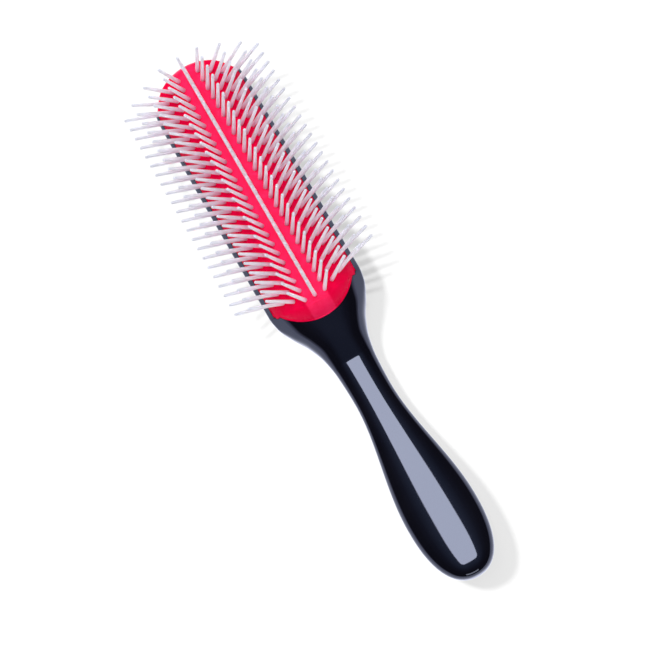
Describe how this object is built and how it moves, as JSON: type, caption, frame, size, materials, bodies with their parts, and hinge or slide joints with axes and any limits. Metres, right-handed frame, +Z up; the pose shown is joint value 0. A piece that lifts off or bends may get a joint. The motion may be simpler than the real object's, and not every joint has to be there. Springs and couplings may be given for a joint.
{
  "type": "hairbrush",
  "caption": "Classic styling hairbrush with a half-round rubber cushion that slides out of the head, rows of round-tipped pins and a waisted paddle grip.",
  "frame": {"origin": "under the middle of the whole brush, on the surface that it lies on", "axes": "+X along the brush towards the tip of the pad, +Y across it to the left rows, +Z up along the centre row of pins"},
  "size_m": [0.226, 0.059, 0.0421],
  "materials": {
    "handle_plastic": "polished black",
    "pad_rubber": "smooth satin red",
    "pin_nylon": "milky translucent, pale lilac"
  },
  "bodies": {
    "handle": {"handle": "handle_plastic"},
    "pad": {"cushion_pad": "pad_rubber", "pin_row_centre": "pin_nylon", "pin_row_left_1": "pin_nylon", "pin_row_left_2": "pin_nylon", "pin_row_left_3": "pin_nylon", "pin_row_left_4": "pin_nylon", "pin_row_right_1": "pin_nylon", "pin_row_right_2": "pin_nylon", "pin_row_right_3": "pin_nylon", "pin_row_right_4": "pin_nylon"}
  },
  "joints": [
    {"name": "pad_slide", "type": "slide", "parent": "handle", "child": "pad", "axis": [1, 0, 0], "range_m": [0, 0.115]}
  ]
}
